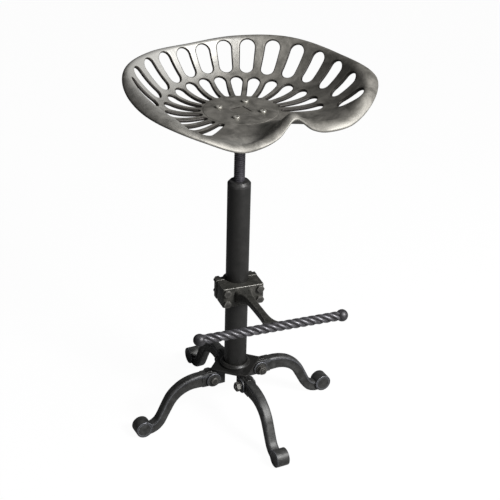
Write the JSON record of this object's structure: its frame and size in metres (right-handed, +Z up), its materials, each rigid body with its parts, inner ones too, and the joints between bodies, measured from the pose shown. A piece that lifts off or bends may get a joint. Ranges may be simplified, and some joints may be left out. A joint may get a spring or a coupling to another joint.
{
  "type": "tractor seat stool",
  "caption": "Adjustable stool: pierced cast tractor seat on a trapezoidal screw in a round column with four scroll-footed legs and a clamped twisted-bar footrest.",
  "frame": {"origin": "on the floor, on the column's axis, between the four feet", "axes": "+Z up along the column; the legs lie along X and Y; the seat and the footrest face about -Y, the seat turned 7.8 degrees anticlockwise and the footrest 5.9 degrees clockwise as the picture has them"},
  "size_m": [0.4464, 0.418, 0.7032],
  "materials": {
    "seat_iron": "brushed cast iron with a worn pale rim",
    "black_steel": "satin black",
    "zinc_steel": "zinc plated",
    "screw_steel": "dark oiled steel",
    "nylon": "natural nylon",
    "black_paint": "satin black, faintly mottled",
    "nut_steel": "turned face, blackened sides",
    "leg_iron": "dark graphite, rubbed pale along the edges",
    "dark_steel": "black oxide, rubbed",
    "clamp_iron": "black graphite casting",
    "bar_iron": "forged bar, graphite, rubbed on its ridges"
  },
  "bodies": {
    "root": {"column_tube": "black_paint", "column_nut": "nut_steel", "hub_plate": "black_paint", "leg_right": "leg_iron", "leg_back": "leg_iron", "leg_left": "leg_iron", "leg_front": "leg_iron", "leg_bolts": "dark_steel", "leg_washers": "dark_steel", "leg_nuts": "dark_steel"},
    "carriage": {"guide_ring": "nylon"},
    "seat": {"seat_pan": "seat_iron", "seat_flange": "black_steel", "seat_bolts": "zinc_steel", "seat_washers": "zinc_steel", "seat_nuts": "zinc_steel", "height_screw": "screw_steel", "stop_washer": "zinc_steel", "stop_screw": "zinc_steel"},
    "footrest": {"clamp_front": "clamp_iron", "clamp_rear": "clamp_iron", "clamp_bolts": "dark_steel", "clamp_washers": "dark_steel", "clamp_nuts": "dark_steel", "footrest_bar": "bar_iron", "bar_ball_left": "bar_iron", "bar_ball_right": "bar_iron"}
  },
  "joints": [
    {"name": "seat_height", "type": "slide", "parent": "root", "child": "carriage", "axis": [0, 0, 1], "range_m": [-0.1, 0.06]},
    {"name": "seat_turn", "type": "hinge", "parent": "carriage", "child": "seat", "pos_m": [0, 0, 0.5], "axis": [0, 0, 1], "range_deg": [-9000, 5400]},
    {"name": "footrest_height", "type": "slide", "parent": "root", "child": "footrest", "axis": [0, 0, 1], "range_m": [-0.12, 0.13]}
  ],
  "couplings": [
    {"joint": "seat_height", "follows": "seat_turn", "m_per_rad": 0.00063662}
  ]
}
